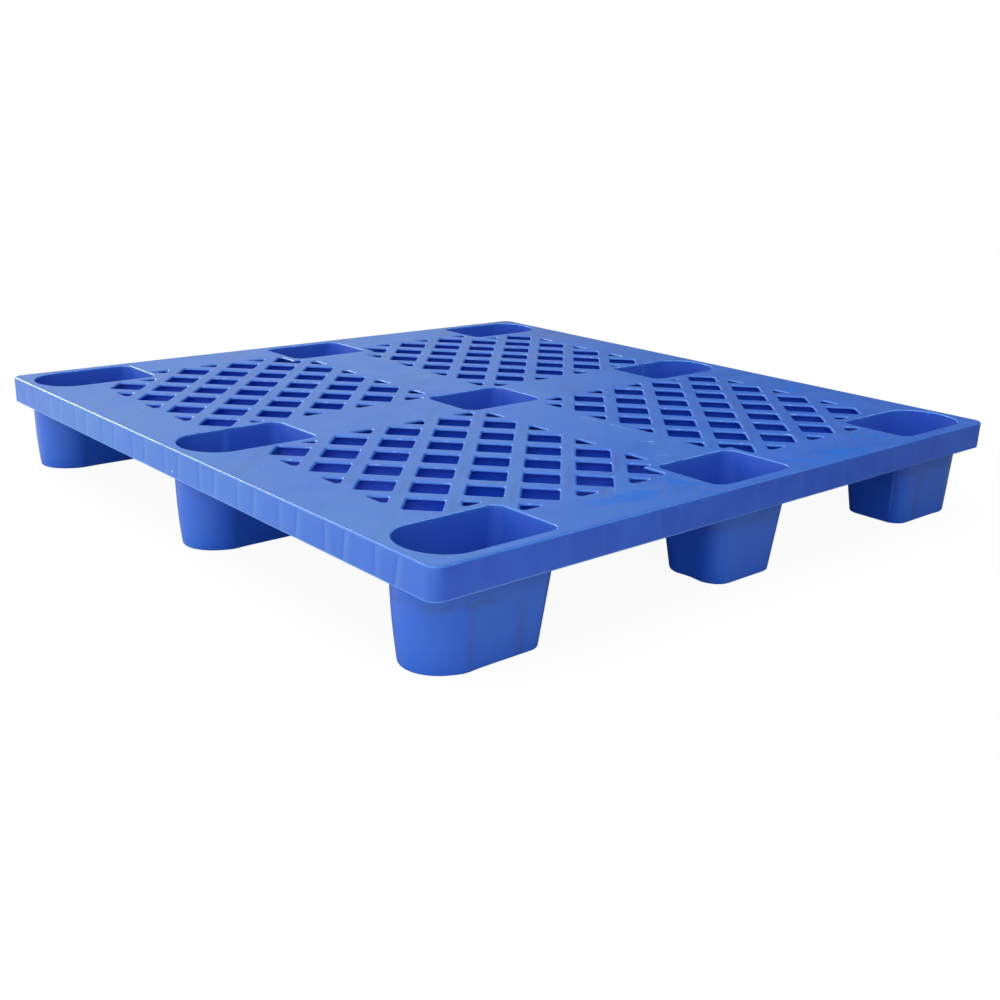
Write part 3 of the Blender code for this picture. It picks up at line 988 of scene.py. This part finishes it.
def plastic(name, rim=False, deck=False, leg=False):
    """Blue HDPE: mottled colour, dust and scuffs on what faces up, worn edges, and painted light and shade
    on lips, sides, creases and cups.
    """
    material, g, shader = new_material(name)
    at = Surface(g)
    on_top = g.step(at.height, TOP - 4.5 * MM, TOP - 2 * MM)
    on_deck = g.times(g.step(at.normal[2], 0.90, 0.99), on_top)
    lip = g.times(g.bell(at.normal[2], 0.62, 0.42), on_top)
    in_cup = inside_cup(g, at) if leg else 0.0

    mottled = g.step(g.noise(at.place, 9.0, 4.0, 0.55), 0.35, 0.68)
    body = g.mix(mottled, DEEP_BLUE, CLEAN_BLUE) if rim else g.mix(mottled, CLEAN_BLUE, LEG_BLUE)
    if rim:
        body = rim_body(g, at, body)
    if deck:
        body = g.mix(g.step(at.height, TOP - 2 * MM, TOP - 4 * MM), body, INNER_BLUE)
    if leg:
        body = leg_body(g, at, body, in_cup)
    # Painted highlight on the rounded lips
    body = g.mix(g.times(lip, 0.85), body, LIP_BLUE)

    film, dirt = dust_and_dirt(g, at)
    wiped, outline = blotches(g, at)
    dust = g.times(film, on_deck, g.less(1.0, g.times(wiped, 0.85)))
    colour = g.mix(dust, body, DUSTY_BLUE)
    colour = g.mix(g.times(dirt, on_deck, g.less(1.0, wiped)), colour, DARK_DIRT_AND_SHADE)
    colour = g.mix(g.times(wiped, on_deck, 0.8), colour, VIVID_BLUE)
    colour = g.mix(g.times(outline, on_deck, 0.40), colour, BROWN_DIRT)
    colour = g.mix(g.times(scuffs(g, at), on_deck), colour, PALE_SCRATCH)
    chipped = g.times(lip, g.step(g.noise(at.place, 90.0, 4.0, 0.65), 0.56, 0.66))
    colour = g.mix(g.times(chipped, 0.18 if rim else 0.40), colour, PALE_SCRATCH)
    if leg:
        # Real burrs on the front lips and a painted glint on the lips that face left
        colour = g.mix(g.times(leg_burrs_and_glints(g, at), lip, 0.8), colour, PALE_BURR_AND_GLEAM)
    if rim:
        colour = rim_nick_and_gleam(g, at, colour)
    g.put(shader["Base Color"], colour)

    rough = g.plus(g.step(g.noise(at.place, 16.0, 4.0, 0.6), 0.3, 0.7, 0.31, 0.40), g.times(dust, 0.06))
    rough = g.plus(g.less(rough, g.times(wiped, on_deck, 0.06)), g.times(in_cup, 0.35))
    g.put(shader["Roughness"], g.less(rough, g.times(lip, 0.13)))
    shader["IOR"].default_value = PLASTIC_IOR

    relief = g.plus(g.times(g.noise(at.place, 260.0, 2.0, 0.5), 0.02 * MM),
                    g.times(g.noise(at.place, 14.0, 2.0, 0.45), 0.5 * MM))
    g.put(shader["Normal"], g.node("ShaderNodeBump", {"Height": relief, "Strength": 1.0, "Distance": 1.0}))
    return material


# Stage, light and camera

WHITE = (1.0, 1.0, 1.0, 1.0)

# Distances in metres
FLOOR_RADIUS, BACKDROP_RADIUS = 30, 32
FLOOR_DROP, BOUNCE_DROP = 0.3 * MM, 0.6 * MM
SHADE_REACH = 0.58

# Share of the white floor that takes shadows
FLOOR_MATT = 0.07

# How much the painted shadow darkens the floor under the pallet in red, green and blue
UNDER_SHADE = (0.72, 0.66, 0.46)

TO_WINDOW_SIDE = (-0.90, 0.12, 0.35)

CAMERA_PLACE = (-1.2845, -1.4395, 0.5762)
CAMERA_ANGLES = (72.501, -1.644, -40.176)
CAMERA_LENS = 44.507
CAMERA_SHIFT = 0.0408


def glowing_white(name, matt_share=0.0):
    """White that glows by itself, with a share that the light falls on."""
    material = bpy.data.materials.new(name)
    material.use_nodes = True
    material.node_tree.nodes.clear()
    g = Graph(material.node_tree)
    surface = g.node("ShaderNodeEmission", {"Color": WHITE, "Strength": 1.0})
    if matt_share:
        matt = g.node("ShaderNodeBsdfDiffuse", {"Color": WHITE})
        surface = g.node("ShaderNodeMixShader", {0: matt_share, 1: surface, 2: matt})
    output = material.node_tree.nodes.new("ShaderNodeOutputMaterial")
    g.put(output.inputs["Surface"], surface)
    return material


def camera_only(item):
    """Hide an object from everything but the camera, so that it adds no light or reflection."""
    item.visible_diffuse = False
    item.visible_glossy = False
    item.visible_transmission = False
    item.visible_shadow = False
    return item


def disc(name, z, material):
    bm = bmesh.new()
    bmesh.ops.create_circle(bm, cap_ends=True, segments=64, radius=FLOOR_RADIUS)
    item = new_object(name, bm)
    item.data.materials.append(material)
    item.location.z = z
    return item


def bounce_floor_look():
    """The floor that lights the pallet from below: painted light paler toward the window side, a painted
    shadow darker underneath.
    """
    material, g, shader = new_material("grey_floor")
    x, y, _ = g.split(g.node("ShaderNodeTexCoord", {}, output="Object"))
    # Painted light toward the window side and a painted shadow under the pallet
    tone = g.step(g.less(g.times(y, 0.3), x), -0.9, 1.0, 0.22, 0.85)
    under = g.times(*[inside(g, place, -SHADE_REACH, SHADE_REACH, 0.1) for place in (x, y)])
    red, green, blue = [g.times(tone, g.less(1.0, g.times(under, share))) for share in UNDER_SHADE]
    g.put(shader["Base Color"], g.node("ShaderNodeCombineColor", {0: red, 1: green, 2: blue}))
    shader["Roughness"].default_value = 0.9
    return material


def make_stage():
    """A pale floor and backdrop that only the camera sees, over a darker floor that lights the pallet."""
    floor = camera_only(disc("floor", -FLOOR_DROP, glowing_white("pale_floor", FLOOR_MATT)))
    bounce = disc("bounce_floor", -BOUNCE_DROP, bounce_floor_look())
    bounce.visible_camera = False
    bm = bmesh.new()
    bmesh.ops.create_uvsphere(bm, u_segments=64, v_segments=32, radius=BACKDROP_RADIUS)
    backdrop = camera_only(new_object("backdrop", bm))
    backdrop.data.materials.append(glowing_white("pale_backdrop"))


def make_world():
    """Soft light from all round: bright from the left, a dark wall low down behind the right."""
    world = bpy.data.worlds.new("studio")
    bpy.context.scene.world = world
    world.use_nodes = True
    g = Graph(world.node_tree)
    where = g.node("ShaderNodeTexCoord", {}, output="Generated")
    x, y, z = g.split(where)
    window_side = g.node("ShaderNodeVectorMath", {0: where, 1: Vector(TO_WINDOW_SIDE).normalized()},
                         output="Value", operation="DOT_PRODUCT")
    sky = g.plus(0.58, g.step(window_side, 0.0, 1.0, 0.0, 1.12), g.step(z, 0.3, 1.0, 0.0, 0.42))
    to_right, to_back = g.less(x, y), g.plus(x, y)
    wall = g.times(g.step(to_right, -0.14, 0.14), g.step(to_back, 0.07, 0.64), g.step(z, 0.7, 0.3))
    background = world.node_tree.nodes["Background"].inputs
    background["Color"].default_value = WHITE
    g.put(background["Strength"], g.times(sky, g.less(1.0, g.times(wall, 0.88))))


def make_window(place, target, size, power):
    """A tall light behind the pallet that only its gloss shows."""
    light = bpy.data.lights.new("window", "AREA")
    light.shape = "RECTANGLE"
    light.size, light.size_y = size
    light.energy = power
    item = bpy.data.objects.new("window", light)
    bpy.context.scene.collection.objects.link(item)
    item.location = place
    item.rotation_euler = (Vector(target) - Vector(place)).to_track_quat("-Z", "Y").to_euler()
    item.visible_diffuse = False


def make_camera():
    data = bpy.data.cameras.new("camera")
    data.sensor_width = 36.0
    data.lens = CAMERA_LENS
    data.shift_x = CAMERA_SHIFT
    data.clip_start, data.clip_end = 0.05, 200
    camera = bpy.data.objects.new("camera", data)
    bpy.context.scene.collection.objects.link(camera)
    camera.location = CAMERA_PLACE
    camera.rotation_euler = [math.radians(angle) for angle in CAMERA_ANGLES]
    bpy.context.scene.camera = camera


make_camera()
bpy.context.scene.view_settings.view_transform = "Standard"
build_pallet({"deck_plastic": plastic("deck_plastic_look", deck=True),
              "leg_plastic": plastic("leg_plastic_look", leg=True),
              "rim_plastic": plastic("rim_plastic_look", rim=True)})
make_stage()
make_world()
make_window(place=(-0.72, 3.4, 2.0), target=(-0.55, 0, 0.14), size=(0.6, 1.9), power=85)
